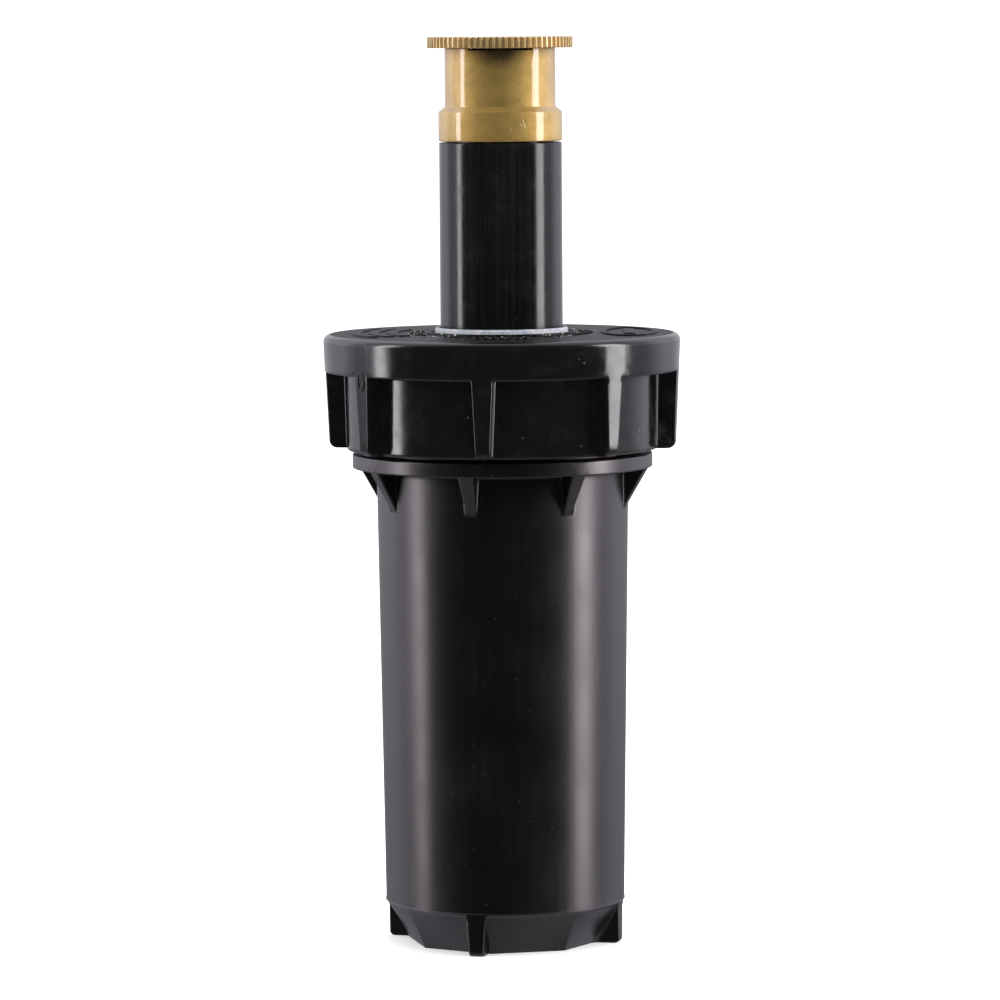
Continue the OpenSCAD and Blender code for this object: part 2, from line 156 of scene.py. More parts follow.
# ---------------------------------------------------------------------------------- mesh tools
def arc(cx, cy, r, a0, a1, steps=8):
    """Points on an arc, angles in degrees."""
    angles = np.radians(np.linspace(a0, a1, steps + 1))
    return [(cx + r * math.cos(a), cy + r * math.sin(a)) for a in angles]


def rounded(corners, steps=6):
    """A polyline of (r, z, corner radius) with each corner turned into an arc."""
    out = []
    for i, (r, z, rad) in enumerate(corners):
        if rad <= 0 or i in (0, len(corners) - 1):
            out.append((r, z))
            continue
        here = np.array([r, z])
        before = np.array(corners[i - 1][:2]) - here
        after = np.array(corners[i + 1][:2]) - here
        before_n = before / np.linalg.norm(before)
        after_n = after / np.linalg.norm(after)
        half = math.acos(max(-1, min(1, float(before_n @ after_n)))) / 2
        reach = min(rad / math.tan(half), 0.49 * np.linalg.norm(before), 0.49 * np.linalg.norm(after))
        rad = reach * math.tan(half)
        middle = before_n + after_n
        centre = here + middle / np.linalg.norm(middle) * (rad / math.sin(half))
        start = here + before_n * reach - centre
        end = here + after_n * reach - centre
        turn = math.atan2(start[0] * end[1] - start[1] * end[0], float(start @ end))
        for k in range(steps + 1):
            a = turn * k / steps
            out.append((
                centre[0] + start[0] * math.cos(a) - start[1] * math.sin(a),
                centre[1] + start[0] * math.sin(a) + start[1] * math.cos(a),
            ))
    return out


def refined(path, longest):
    """The same path with its long stretches split."""
    out = [path[0]]
    for a, b in zip(path, path[1:]):
        n = max(1, math.ceil(math.dist(a, b) / longest))
        out += [tuple(np.array(a) + (np.array(b) - np.array(a)) * k / n) for k in range(1, n + 1)]
    return out


def bridge(bm, low, high):
    """Quads between two closed rings of vertices."""
    for j in range(len(low)):
        k = (j + 1) % len(low)
        bm.faces.new((low[j], low[k], high[k], high[j]))


def add_grid(bm, points):
    """Closed skin over points[row, column] in millimetres; its rows and its columns both close."""
    rings = [[bm.verts.new(point * MM) for point in row] for row in points]
    for i, ring in enumerate(rings):
        bridge(bm, ring, rings[(i + 1) % len(rings)])


def ring_points(radius, heights):
    """Points from radius[row, column] and the height of each row, the columns spread round Z."""
    a = np.arange(radius.shape[1]) * TAU / radius.shape[1]
    level = np.broadcast_to(heights[:, None], radius.shape)
    return np.stack([radius * np.cos(a), radius * np.sin(a), level], -1)


def lathe_points(path, count=192):
    """Points of a path turned round Z."""
    path = np.array(path, float)
    return ring_points(np.repeat(path[:, :1], count, 1), path[:, 1])


def add_helix(bm, sections, z0, pitch, turns, per_turn):
    """Sweep of a section along a right-hand helix; sections(t) gives its (r, z) points at turn t."""
    rings = []
    for i in range(round(turns * per_turn) + 1):
        t = i / per_turn
        a = t * TAU
        rings.append([
            bm.verts.new(Vector((r * math.cos(a), r * math.sin(a), z0 + pitch * t + z)) * MM)
            for r, z in sections(t)
        ])
    for low, high in zip(rings, rings[1:]):
        bridge(bm, low, high)
    bm.faces.new(rings[0][::-1])
    bm.faces.new(rings[-1])


def ridge_section(buried, crest, w_low, w_high, turns):
    """Trapezoid thread ridge that runs out over a quarter turn at both ends."""
    def section(t):
        k = 0.16 + 0.84 * min(1, t / 0.25, (turns - t) / 0.25)
        tip = buried + (crest - buried) * k
        soft = w_high * 0.25
        step = (crest - buried) * 0.08
        pts = [(buried, -w_low / 2), (tip - step, -w_high / 2 - 0.02), (tip, -w_high / 2 + soft),
               (tip, w_high / 2 - soft), (tip - step, w_high / 2 + 0.02), (buried, w_low / 2)]
        return pts if crest > buried else pts[::-1]
    return section


def finish_mesh(bm, name, body, material, nodes, sharp=38):
    """Turn a bmesh into a shaded object that rides on a body and stands for its CAD nodes."""
    bmesh.ops.remove_doubles(bm, verts=bm.verts, dist=2e-7)
    bmesh.ops.dissolve_degenerate(bm, edges=bm.edges, dist=2e-7)
    bmesh.ops.recalc_face_normals(bm, faces=bm.faces)
    mesh = bpy.data.meshes.new(name)
    bm.to_mesh(mesh)
    bm.free()
    mesh.materials.append(material)
    mesh.shade_smooth()
    mesh.set_sharp_from_angle(angle=math.radians(sharp))
    obj = bpy.data.objects.new(name, mesh)
    bpy.context.collection.objects.link(obj)
    weighted = obj.modifiers.new("weighted", "WEIGHTED_NORMAL")
    weighted.keep_sharp = True
    weighted.weight = 60
    if body:
        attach(obj, body)
    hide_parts(*nodes)
    return obj


# -------------------------------------------------------------------- ribbed shells (body, cap)
EDGE = 0.32
FILLET = 0.4
FACE_COLS = 6
WINDOW_COLS = 26
ARC_STEPS = 4
QUARTER = [math.radians(90 * k / ARC_STEPS) for k in range(ARC_STEPS + 1)]
FAR = 1e9


def side_columns():
    """Columns of one side of a rib as (s, t), round its edge and round the root of the window.

    s runs from the rib's edge into the window; t is how far in from the rib's outer face for the
    edge, and how far out from the skirt for the root.
    """
    edge = [(-EDGE + EDGE * math.sin(a), EDGE - EDGE * math.cos(a)) for a in QUARTER]
    root = [(FILLET - FILLET * math.cos(a), FILLET - FILLET * math.sin(a)) for a in QUARTER]
    return edge, root


def rib_columns(row, mid, outer):
    """Columns of one rib as (angle, radius), from its left side over the face to its right side."""
    edge, root = side_columns()
    half = row["width"] / 2
    t_row = row.get("t", FAR)
    depth = max(outer - row["skirt"](mid), 0)

    def place(a, t):
        return max(outer - min(t, t_row), row["skirt"](a))

    def along(sign, s, t):
        r = place(mid, t)
        for _ in range(3):
            a = mid + sign * math.asin(min(0.999, (half + s) / r))
            r = place(a, t)
        return a, r

    steps = edge + [(s, max(depth - up, 0)) for s, up in root]
    left = [along(-1, s, t) for s, t in steps]
    right = [along(1, s, t) for s, t in steps]
    face = []
    for j in range(1, FACE_COLS):
        s = (half - EDGE) * (2 * j / FACE_COLS - 1)
        a = mid + math.asin(s / place(mid, 0))
        face.append((a, place(a, 0)))
    return left[::-1] + face + right


def ribbed_points(rows, count, clock):
    """Rings of a shell of revolution with count ribs.

    Each row is a dict: z, outer(k) radius of rib k, skirt(a) radius of the shell at angle a,
    width of the rib, and t, how far this row itself has gone in from the outer face.
    """
    span = TAU / count
    out = []
    for row in rows:
        ring = []
        for k in range(count):
            outer = row["outer"](k)
            rib = rib_columns(row, clock + k * span, outer)
            a0, a1 = rib[-1][0], rib[0][0] + span
            window = [a0 + (a1 - a0) * j / WINDOW_COLS for j in range(1, WINDOW_COLS)]
            floor = outer - row.get("t", FAR)
            ring += rib + [(a, max(floor, row["skirt"](a))) for a in window]
        out.append([(r * math.cos(a), r * math.sin(a), row["z"]) for a, r in ring])
    return np.array(out)


def plain_row(r, z, width):
    """A row without ribs."""
    return {"z": z, "outer": lambda k: r, "skirt": lambda a: r, "width": width}


def octagon_radius(a):
    """Radius of the foot's octagon at an angle."""
    step = math.radians(45)
    off = (a - OCTAGON_CLOCK) % step - step / 2
    return OCTAGON_R * math.cos(step / 2) / math.cos(off)


def body_radius(z):
    """Outside of the body's drafted tube."""
    t = (z - FOOT_Z) / (FLANGE_Z - 0.6 - FOOT_Z)
    return BODY_LOW_R + (BODY_TOP_R - BODY_LOW_R) * t


def foot_skirt(z):
    """Foot that blends from the round tube to the octagon at the base."""
    t = min(1, max(0, z / FOOT_Z))
    return lambda a: octagon_radius(a) + (BODY_LOW_R - octagon_radius(a)) * t


def foot_rows():
    """Base plane, and the foot with its four ribs."""
    rows = [plain_row(r, 0.0, BASE_RIB_W) for r in (INLET_R + 0.9, 13.0, 14.6)]
    rib_r = BODY_LOW_R - 0.05
    corner = 0.8
    profile = arc(rib_r - corner, corner, corner, -90, 0, 6)
    profile += [(rib_r, z) for z in np.linspace(1.4, FOOT_Z, 9)]
    for r, z in profile:
        rows.append({
            "z": z,
            "outer": lambda k, r=r: r if k % 2 == 0 else 0.0,
            "skirt": foot_skirt(z),
            "width": BASE_RIB_W + (TUBE_RIB_W - BASE_RIB_W) * z / FOOT_Z,
        })
    return rows


def tube_rows():
    """Flash line round the top of the foot, then the drafted tube up to the gussets."""
    flash = 0.10
    rows = [plain_row(BODY_LOW_R + flash, z, TUBE_RIB_W) for z in (FOOT_Z + 0.05, FOOT_Z + 0.17)]
    for z in np.linspace(FOOT_Z + 0.25, GUSSET_Z, 26):
        t = (z - FOOT_Z) / (GUSSET_Z - FOOT_Z)
        rows.append(plain_row(body_radius(z), z, TUBE_RIB_W + (GUSSET_LOW_W - TUBE_RIB_W) * t))
    return rows


def gusset_rows():
    """Gussets below the flange, and the fillet between them."""
    rows = []
    gusset_out = FLANGE_R - 0.3
    gusset_in = 21.0
    for z in np.linspace(GUSSET_Z + 0.05, FLANGE_Z - FLANGE_FILLET, 12):
        t = (z - GUSSET_Z) / GUSSET_DROP
        rows.append({
            "z": z,
            "outer": lambda k, t=t: gusset_in + (gusset_out - gusset_in) * t,
            "skirt": lambda a, z=z: body_radius(z),
            "width": GUSSET_LOW_W + (GUSSET_HIGH_W - GUSSET_LOW_W) * t,
        })
    fillet = arc(BODY_TOP_R + FLANGE_FILLET, FLANGE_Z - FLANGE_FILLET, FLANGE_FILLET, 180, 90, 4)
    for r, z in fillet[1:]:
        rows.append({
            "z": z,
            "outer": lambda k, z=z: gusset_out - (FLANGE_Z - z) * 0.55,
            "skirt": lambda a, r=r: r,
            "width": GUSSET_HIGH_W,
        })
    return rows


def bore_rows():
    """Flange, neck and rim, then down the bore to the inlet."""
    edge = 0.22
    step = 1.6
    path = rounded([
        (BODY_TOP_R + FLANGE_FILLET, FLANGE_Z, 0), (FLANGE_R, FLANGE_Z, edge), (FLANGE_R, NECK_Z, edge),
        (CORE_R, NECK_Z, 0.3), (CORE_R, RIM_Z - step, 0.1), (CORE_R - step, RIM_Z - step, 0.1),
        (CORE_R - step, RIM_Z, 0.2), (MOUTH_R, RIM_Z, 0.4), (MOUTH_R, FLANGE_Z + 0.9, 0.3),
        (BORE_R, FLANGE_Z - 0.5, 0.3), (BORE_R, FLOOR_Z, 1.0), (HUB_R, FLOOR_Z, 0.6),
        (HUB_R, HUB_Z, 0.4), (SEAT_R, HUB_Z, 0.25), (SEAT_R, INLET_Z, 0.1),
        (INLET_ROOT_R, INLET_Z, 0.2), (INLET_ROOT_R, 0.9, 0)], 5)
    return [plain_row(r, z, GUSSET_HIGH_W) for r, z in refined(path, 3.0)[1:]]


def add_block(bm, r0, r1, w0, w1, z0, z1, a):
    """Radial block from r0 to r1, w0 wide at z0 and w1 wide at z1."""
    turn = Matrix.Rotation(a, 3, "Z")
    low, high = [
        [bm.verts.new(turn @ (Vector((r, s * w / 2, z)) * MM))
         for r, s in ((r0, -1), (r1, -1), (r1, 1), (r0, 1))]
        for z, w in ((z0, w0), (z1, w1))
    ]
    bm.faces.new(low[::-1])
    bm.faces.new(high)
    bridge(bm, low, high)


def build_body(material):
    bm = bmesh.new()
    rows = foot_rows() + tube_rows() + gusset_rows() + bore_rows()
    add_grid(bm, ribbed_points(rows, RIBS, BODY_CLOCK))
    neck_ridge = ridge_section(CORE_R - 0.4, CORE_R + 1.2, *CAP_RIDGE, NECK_TURNS)
    add_helix(bm, neck_ridge, NECK_Z + 1.8, CAP_PITCH, NECK_TURNS, HELIX_STEPS)
    # keys that stop the ratchet ring from turning, and webs between hub and wall
    low = FLOOR_Z - 0.3
    for k in range(RIBS):
        add_block(bm, 17.2, BORE_R + 0.4, 1.6, 1.6, low, FLANGE_Z - 3, BODY_CLOCK + k * TAU / RIBS)
    for k in range(4):
        a = BODY_CLOCK + TAU / RIBS + k * TAU / 4
        add_block(bm, HUB_R - 0.3, BORE_R + 0.3, 1.4, 1.0, low, FLOOR_Z + 3, a)
    # inlet thread, as the solid ridges left between the grooves
    inlet_ridge = ridge_section(INLET_ROOT_R + 0.3, INLET_R, 1.6, 1.0, INLET_TURNS)
    add_helix(bm, inlet_ridge, 1.3, INLET_PITCH, INLET_TURNS, 60)
    finish_mesh(bm, "body_shell", "body_group", material, ["body"])


def corner_cut(radius, into):
    """How far a rounded corner draws back at a distance into it."""
    if into <= 0:
        return 0.0
    return radius - math.sqrt(max(radius ** 2 - into ** 2, 0))


def rib_outer(z):
    """Outer face of a grip rib."""
    t = (z - RIB_LOW_Z) / (BAND_Z - RIB_LOW_Z)
    r = RIB_LOW_R + (RIB_TOP_R - RIB_LOW_R) * t
    return r - corner_cut(RIB_CORNER, RIB_LOW_Z + RIB_CORNER - z)


def cap_skirt(z):
    """Outside of the cap's skirt between the ribs."""
    t = (z - SKIRT_Z) / (BAND_Z - SKIRT_Z)
    r = SKIRT_R - 0.15 + 0.3 * t
    return r - corner_cut(SKIRT_EDGE, SKIRT_Z + SKIRT_EDGE - z)


def cap_row(z, t_row=FAR, ribs=True):
    """A row of the cap's skirt, with its ribs or below them."""
    share = min(1, (z - RIB_LOW_Z) / (BAND_Z - RIB_LOW_Z))
    return {
        "z": z,
        "outer": lambda k: rib_outer(z) if ribs else cap_skirt(z),
        "skirt": lambda a: cap_skirt(z),
        "width": RIB_LOW_W + (RIB_HIGH_W - RIB_LOW_W) * share,
        "t": t_row,
    }


def cap_top_rows():
    """Edge of the hole, the flat, the shoulder and the band above the windows."""
    path = rounded([
        (HOLE_R, PLATE_Z, 0), (HOLE_R, CAP_Z + 0.4, 0.12), (HOLE_R + 0.9, CAP_Z + 0.4, 0.1),
        (HOLE_R + 1.0, CAP_Z, 0.08), (CAP_R - SHOULDER, CAP_Z, 0)], 4)
    path = refined(path, 1.5)
    path += arc(CAP_R - SHOULDER, CAP_Z - SHOULDER, SHOULDER, 90, 4, 16)[1:]
    path.append((RIB_TOP_R + 0.04, BAND_Z + EDGE + 0.9))
    return [plain_row(r, z, RIB_HIGH_W) for r, z in path]


def cap_window_rows():
    """Rounded head of the windows, the ribs down to their rounded feet, and the edge below them."""
    rows = [cap_row(BAND_Z + EDGE - EDGE * math.sin(a), EDGE - EDGE * math.cos(a)) for a in QUARTER]
    depth = rib_outer(BAND_Z) - cap_skirt(BAND_Z)
    root_z = BAND_Z - FILLET
    for a in QUARTER:
        rows.append(cap_row(root_z + FILLET * math.cos(a), depth - FILLET + FILLET * math.sin(a)))
    foot = RIB_LOW_Z + RIB_CORNER
    rows += [cap_row(z) for z in np.linspace(root_z - 0.7, foot, 10)]
    for k in range(1, 7):
        rows.append(cap_row(foot - RIB_CORNER * math.sin(math.radians(90 * k / 6)) + 1e-4))
    for k in range(5):
        rows.append(cap_row(RIB_LOW_Z + (SKIRT_Z - RIB_LOW_Z) * k / 4, ribs=False))
    return rows


def cap_inner_rows():
    """Inside of the cap, from the skirt's foot up to the hole."""
    path = rounded([
        (cap_skirt(SKIRT_Z), SKIRT_Z, 0), (CAP_ROOT_R, SKIRT_Z, 0.4), (CAP_ROOT_R, RIM_Z, 0.2),
        (POCKET_R, RIM_Z + 0.4, 0.2), (POCKET_R, RIM_Z + 3, 0.3), (PLATE_BORE_R, RIM_Z + 3, 0.2),
        (PLATE_BORE_R, PLATE_Z, 0.3), (HOLE_R, PLATE_Z, 0)], 4)
    return [plain_row(r, z, RIB_LOW_W) for r, z in refined(path, 3.0)[1:-1]]


def add_raised(bm, outline, z, rise, soften=0.12):
    """A low raised shape with softened edges from a closed outline in mm."""
    levels = [(0.0, -0.2), (0.0, rise - soften), (soften * 0.35, rise - soften * 0.3), (soften, rise)]
    rings = []
    for inset, up in levels:
        ring = []
        for i, p in enumerate(outline):
            q, n = outline[i - 1], outline[(i + 1) % len(outline)]
            d = np.array(n) - np.array(q)
            normal = np.array([-d[1], d[0]]) / (np.linalg.norm(d) + 1e-9)
            x, y = np.array(p) + normal * inset
            ring.append(bm.verts.new(Vector((x, y, z + up)) * MM))
        rings.append(ring)
    for low, high in zip(rings, rings[1:]):
        bridge(bm, low, high)
    bm.faces.new(rings[-1])
    bm.faces.new(rings[0][::-1])


def band_outline(r0, r1, a0, a1, steps=24):
    """Outline of an arc-shaped bar, anticlockwise, angles in degrees."""
    angles = np.radians(np.linspace(a0, a1, steps + 1))
    outer = [(r1 * math.cos(a), r1 * math.sin(a)) for a in angles]
    inner = [(r0 * math.cos(a), r0 * math.sin(a)) for a in angles[::-1]]
    return outer + inner


def oval_outline(cx, cy, rx, ry, turn, steps=48):
    """Outline of an oval, anticlockwise."""
    a = np.arange(steps) * TAU / steps
    x, y = rx * np.cos(a), ry * np.sin(a)
    return [(cx + u * math.cos(turn) - v * math.sin(turn), cy + u * math.sin(turn) + v * math.cos(turn))
            for u, v in zip(x, y)]


def oval_ring(rx, ry, width, rise, steps=64):
    """Grid of a low raised oval ring lying on the plane z = 0."""
    half = width / 2
    section = [(-half, -0.2), (-half, rise - 0.08), (0.08 - half, rise), (half - 0.08, rise),
               (half, rise - 0.08), (half, -0.2)]
    a = np.arange(steps) * TAU / steps
    return np.array([
        np.stack([(rx + o) * np.cos(a), (ry + o) * np.sin(a), np.full(steps, h)], -1)
        for o, h in section
    ])


def add_marks(bm):
    """Plain raised shapes on the flat: ticks round the hole, dots, arcs on one side, a badge."""
    for k in range(TICKS):
        a = 360 * k / TICKS
        add_raised(bm, band_outline(13.4, 15.4, a - 0.7, a + 0.7, 2), CAP_Z, 0.2, 0.08)
    for k in range(7):
        a = math.radians(4 * (k - 3) - 90)
        dot = oval_outline(19 * math.cos(a), 19 * math.sin(a), 0.5, 0.5, 0, 20)
        add_raised(bm, dot, CAP_Z, MARK_RISE, 0.1)
    for r in (17.6, 20.6, 23.6):
        add_raised(bm, band_outline(r, r + 1.8, 150, 210, 30), CAP_Z, MARK_RISE, 0.12)
    badge = oval_ring(4.35, 11.55, 0.9, MARK_RISE)
    add_grid(bm, badge + np.array((21.4, 0, CAP_Z)))
    bar = [(22.3, -7), (22.3, 7), (20.5, 7), (20.5, -7)]
    add_raised(bm, bar, CAP_Z, MARK_RISE, 0.1)


def add_gate_mark(bm):
    """Small oval collar at the head of one grip rib."""
    a = CAP_CLOCK - math.radians(45)
    out = np.array((math.cos(a), math.sin(a), 0))
    side = np.array((-math.sin(a), math.cos(a), 0))
    up = np.array((0, 0, 1))
    gate = oval_ring(0.75, 1.45, 0.42, 0.13, 28)
    gate = gate[..., :1] * side + gate[..., 1:2] * up + gate[..., 2:] * out
    add_grid(bm, gate + out * RIB_TOP_R + up * (BAND_Z - 0.6))


def build_cap(material, flat_material):
    bm = bmesh.new()
    rows = cap_top_rows() + cap_window_rows() + cap_inner_rows()
    add_grid(bm, ribbed_points(rows, RIBS, CAP_CLOCK))
    ridge = ridge_section(CAP_ROOT_R + 0.4, CORE_R + 0.3, *CAP_RIDGE, CAP_TURNS)
    add_helix(bm, ridge, NECK_Z + 3.55, CAP_PITCH, CAP_TURNS, HELIX_STEPS)
    add_marks(bm)
    add_gate_mark(bm)
    cap = finish_mesh(bm, "cap_shell", "cap_group", material, ["cap"])
    cap.data.materials.append(flat_material)
    for face in cap.data.polygons:
        x, y, z = face.center / MM
        if z > CAP_Z - 0.01 and math.hypot(x, y) < CAP_R - 1.1:
            face.material_index = 1


# ---------------------------------------------------------------------------- turned pieces
def build_seal(material):
    lip = RISER_R + 0.4
    flange = PLATE_Z - 0.05
    low = seal_lo.z
    path = rounded([
        (lip + 0.5, low, 0.2), (19.0, low, 0.2), (19.0, flange, 0.3), (17.5, flange, 0.2),
        (17.0, flange - 0.45, 0.3), (HOLE_R + 1.2, flange - 0.45, 0.3),
        (HOLE_R - 0.2, flange + 0.05, 0.2), (HOLE_R - 0.2, CAP_Z - 0.1, 0.05),
        (lip + 0.5, CAP_Z + 0.1, 0.08), (lip + 0.45, CAP_Z + 0.8, 0.15),
        (lip + 0.2, CAP_Z + 1.1, 0.12), (lip - 0.2, CAP_Z + 1.0, 0.08),
        (lip - 0.08, CAP_Z - 0.2, 0.3), (lip + 0.4, CAP_Z - 1.2, 0.4),
        (lip + 0.4, low + 1.5, 0.3), (lip, low + 1.0, 0.2), (lip, low + 0.4, 0.2)], 5)
    bm = bmesh.new()
    add_grid(bm, lathe_points(path))
    finish_mesh(bm, "wiper_ring", "seal_pack", material, ["wiper_seal"])


def build_riser(material):
    low = stem_lo.z
    path = rounded([
        (8.4, low, 0.1), (12.2, low, 0.2), (16.0, low + 1.0, 0.3), (16.4, low + 1.4, 0.2),
        (16.4, low + 2.4, 0.25), (RISER_R, low + 2.5, 0.3), (RISER_R, STEM_TOP, 0.2),
        (8.95, STEM_TOP, 0.1), (8.95, NECK_TOP, 0.3), (7.4, NECK_TOP, 0.2),
        (7.4, STEM_TOP - 3, 0.4), (8.4, STEM_TOP - 4.5, 0.4)], 5)
    bm = bmesh.new()
    add_grid(bm, lathe_points(refined(path, 6.0)))
    add_helix(bm, ridge_section(8.55, 9.6, *NOZZLE_RIDGE, 2), STEM_TOP + 0.75, NOZZLE_PITCH, 2, HELIX_STEPS)
    for k in range(4):
        add_block(bm, 7.5, 8.7, 1.0, 1.0, low + 12, STEM_TOP - 5, math.radians(45 + 90 * k))
    finish_mesh(bm, "riser_tube", "riser_group", material, ["riser_stem"])


def build_nozzle(material):
    seat = DISC_Z - 7.5
    shoulder = NECK_TOP + 1.6
    slot_z, land_z = DISC_Z - SLOT_H, DISC_Z - 0.05
    path = rounded([
        (9.9, COLLAR_Z, 0.15), (COLLAR_R, COLLAR_Z, 0.3), (COLLAR_R, DISC_Z - 10.65, 0.12),
        (NOSE_R, DISC_Z - 9.75, 0.15), (NOSE_R, land_z, 0.08), (CHAMBER_R, land_z, 0.08),
        (CHAMBER_R, seat + 0.6, 0.3), (5.25, seat + 0.6, 0.05), (5.25, seat, 0.05), (2.8, seat, 0.05),
        (2.0, seat - 0.8, 0.05), (2.0, seat - 1.9, 0.1), (5.4, shoulder + 0.6, 0.2),
        (6.0, shoulder, 0.1), (9.2, shoulder, 0.05), (9.2, shoulder - 1.6, 0.05),
        (9.9, shoulder - 2.0, 0.05)], 5)
    points = lathe_points(refined(path, 2.0), 240)
    # the front of the rim is cut down to leave the spray slot
    front = points[..., 1] < -np.abs(points[..., 0]) * FRONT_SLOPE
    high = points[..., 2] > slot_z
    points[..., 2] = np.where(front & high, slot_z + (points[..., 2] - land_z) * 0.2, points[..., 2])
    bm = bmesh.new()
    add_grid(bm, points)
    turns = 1.6
    ridge = ridge_section(10.15, 9.25, *NOZZLE_RIDGE, turns)
    add_helix(bm, ridge, STEM_TOP + 1.35, NOZZLE_PITCH, turns, HELIX_STEPS)
    finish_mesh(bm, "nozzle_shell", "nozzle_group", material, ["nozzle_body"])


def build_disc(material):
    tooth = 0.5
    bevel = 0.12
    per_tooth = 8
    count = KNURL_TEETH * per_tooth
    phase = np.arange(count) / per_tooth % 1
    # crest, flank, valley, flank of one tooth
    knots = [0, 0.12, 0.36, 0.64, 0.88, 1]
    level = [0, 0, 1, 1, 0, 0]
    edge_r = DISC_R - tooth * np.interp(phase, knots, level)
    foot = disc_lo.z
    path = rounded([
        (2.55, DISC_Z + DISC_T, 0.05), (DISC_R - bevel, DISC_Z + DISC_T, 0.06),
        (DISC_R, DISC_Z + DISC_T - bevel, 0.05), (DISC_R, DISC_Z + bevel, 0.05),
        (DISC_R - bevel, DISC_Z, 0.06), (5.2, DISC_Z, 0.2), (5.2, foot, 0.1), (4.2, foot, 0.1),
        (4.2, foot + 2.6, 0.1), (2.75, foot + 2.6, 0.1), (2.75, foot + 4.9, 0.1),
        (1.95, foot + 4.9, 0.05), (1.95, DISC_Z + DISC_T - 0.5, 0.05)], 4)
    path = np.array(refined(path, 1.2))
    toothed = np.where(path[:, :1] > 9, edge_r, FAR)
    bm = bmesh.new()
    add_grid(bm, ring_points(np.minimum(path[:, :1], toothed), path[:, 1]))
    finish_mesh(bm, "knurled_disc", "nozzle_group", material, ["nozzle_disc"], sharp=32)


def build_spring(material):
    wire = 0.7
    mean = 13.1
    low, high = spring_lo.z + wire, spring_hi.z - wire
    coils = 9
    turns = coils + 2
    closed = 2 * wire + 0.02
    free = (high - low - 2 * closed) / coils
    bm = bmesh.new()

    def section(t):
        lift = closed * (min(t, 1) + max(t - turns + 1, 0)) + free * max(0, min(t - 1, coils))
        around = np.arange(14) * TAU / 14
        return [(mean + wire * math.cos(b), lift + wire * math.sin(b)) for b in around]

    add_helix(bm, section, low, 0.0, turns, 56)
    nodes = ["retraction_spring"]
    spring = finish_mesh(bm, "coil_spring", None, material, nodes, sharp=60)
    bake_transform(spring)


# ---------------------------------------------------------------------------------- materials
def new_material(name):
    material = bpy.data.materials.new(name)
    material.use_nodes = True
    tree = material.node_tree
    return material, tree, tree.nodes["Principled BSDF"]


def link(tree, a, b):
    tree.links.new(a, b)


def node(tree, kind, **settings):
    made = tree.nodes.new(kind)
    for key, value in settings.items():
        if key in made.inputs:
            made.inputs[key].default_value = value
        else:
            setattr(made, key, value)
    return made


def coords(tree, scale=(1, 1, 1)):
    """Object coordinates in millimetres, stretched by scale."""
    where = node(tree, "ShaderNodeTexCoord")
    mapping = node(tree, "ShaderNodeMapping")
    mapping.inputs["Scale"].default_value = tuple(MM_PER_M * s for s in scale)
    link(tree, where.outputs["Object"], mapping.inputs["Vector"])
    return mapping.outputs["Vector"]


def noise(tree, vector, scale, detail=3.0, rough=0.55):
    made = node(tree, "ShaderNodeTexNoise", Scale=scale, Detail=detail, Roughness=rough)
    link(tree, vector, made.inputs["Vector"])
    return made.outputs["Fac"]


def remap(tree, value, lo, hi, out_lo, out_hi):
    made = node(tree, "ShaderNodeMapRange")
    made.inputs["From Min"].default_value = lo
    made.inputs["From Max"].default_value = hi
    made.inputs["To Min"].default_value = out_lo
    made.inputs["To Max"].default_value = out_hi
    link(tree, value, made.inputs["Value"])
    return made.outputs["Result"]


def math_node(tree, operation, a, b):
    made = node(tree, "ShaderNodeMath", operation=operation)
    for socket, value in zip(made.inputs, (a, b)):
        if isinstance(value, (int, float)):
            socket.default_value = value
        else:
            link(tree, value, socket)
    return made.outputs["Value"]


def times(tree, *values):
    total = values[0]
    for value in values[1:]:
        total = math_node(tree, "MULTIPLY", total, value)
    return total


def plus(tree, *values):
    total = values[0]
    for value in values[1:]:
        total = math_node(tree, "ADD", total, value)
    return total


def mix_node(tree, fac):
    """A colour mix: the input for fac 0, the input for fac 1, and the output."""
    made = node(tree, "ShaderNodeMix", data_type="RGBA")
    link(tree, fac, made.inputs["Factor"])
    under, over = [i for i in made.inputs if i.type == "RGBA"]
    return under, over, [o for o in made.outputs if o.type == "RGBA"][0]


def colour_mix(tree, fac, dark, light):
    """From one plain colour to another."""
    under, over, out = mix_node(tree, fac)
    under.default_value = (*dark, 1)
    over.default_value = (*light, 1)
    return out


def cover_colour(tree, base, cover, colour):
    """A plain colour laid over another one where the cover mask is high."""
    under, over, out = mix_node(tree, cover)
    link(tree, base, under)
    over.default_value = (*colour, 1)
    return out


def bumps(tree, shader, layers):
    """Chain of bump nodes from (height, strength, distance in mm)."""
    normal = None
    for height, strength, distance in layers:
        made = node(tree, "ShaderNodeBump", Strength=strength, Distance=distance * MM)
        link(tree, height, made.inputs["Height"])
        if normal:
            link(tree, normal, made.inputs["Normal"])
        normal = made.outputs["Normal"]
    link(tree, normal, shader.inputs["Normal"])


def specks(tree, vector, scale, size, share):
    """Mask of small round specks: scale sets how many, size how big, share how many are kept."""
    cells = node(tree, "ShaderNodeTexVoronoi", Scale=scale)
    link(tree, vector, cells.inputs["Vector"])
    parts = node(tree, "ShaderNodeSeparateColor")
    link(tree, cells.outputs["Color"], parts.inputs["Color"])
    near = math_node(tree, "LESS_THAN", cells.outputs["Distance"], size)
    kept = math_node(tree, "LESS_THAN", parts.outputs["Red"], share)
    return times(tree, near, kept)


